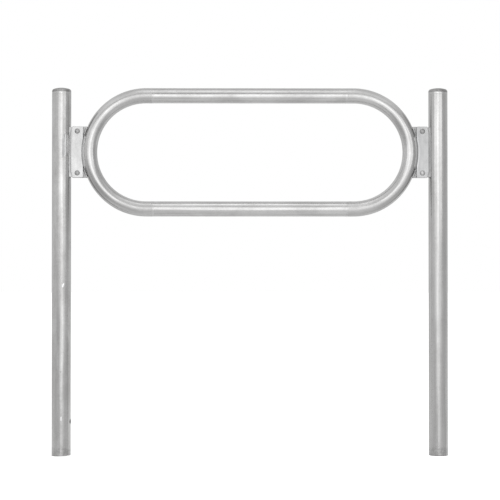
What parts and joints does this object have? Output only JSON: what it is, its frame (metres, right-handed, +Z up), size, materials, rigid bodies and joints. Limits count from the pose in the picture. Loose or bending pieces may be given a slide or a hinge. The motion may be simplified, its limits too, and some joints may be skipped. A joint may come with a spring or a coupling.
{
  "type": "hoop bike rack",
  "caption": "Galvanised tubular bike rack: a long rounded hoop held between two ground-set posts by bolted lap lugs, for leaning and locking bicycles.",
  "frame": {"origin": "middle of the rack on the plane of the posts' feet", "axes": "+X along the rack, +Y from the front to the back, +Z up; the bolt heads face -Y"},
  "size_m": [1.2504, 0.0604, 1.16],
  "materials": {
    "post_zinc": "hot-dip galvanised, semi-gloss with faint mottling and run marks",
    "hoop_zinc": "hot-dip galvanised, semi-gloss with faint mottling",
    "lug_zinc": "hot-dip galvanised plate, bright satin",
    "fastener_zinc": "galvanised fasteners, dull satin"
  },
  "bodies": {
    "root": {"left_post_tube": "post_zinc", "right_post_tube": "post_zinc", "left_post_cap": "post_zinc", "right_post_cap": "post_zinc", "hoop_left_bend": "hoop_zinc", "hoop_right_bend": "hoop_zinc", "hoop_top_rail": "hoop_zinc", "hoop_bottom_rail": "hoop_zinc", "left_post_lug": "lug_zinc", "right_post_lug": "lug_zinc", "left_hoop_lug": "lug_zinc", "right_hoop_lug": "lug_zinc", "left_upper_bolt": "fastener_zinc", "left_lower_bolt": "fastener_zinc", "right_upper_bolt": "fastener_zinc", "right_lower_bolt": "fastener_zinc", "left_upper_washer": "fastener_zinc", "left_lower_washer": "fastener_zinc", "right_upper_washer": "fastener_zinc", "right_lower_washer": "fastener_zinc", "left_upper_nut": "fastener_zinc", "left_lower_nut": "fastener_zinc", "right_upper_nut": "fastener_zinc", "right_lower_nut": "fastener_zinc"}
  },
  "joints": []
}
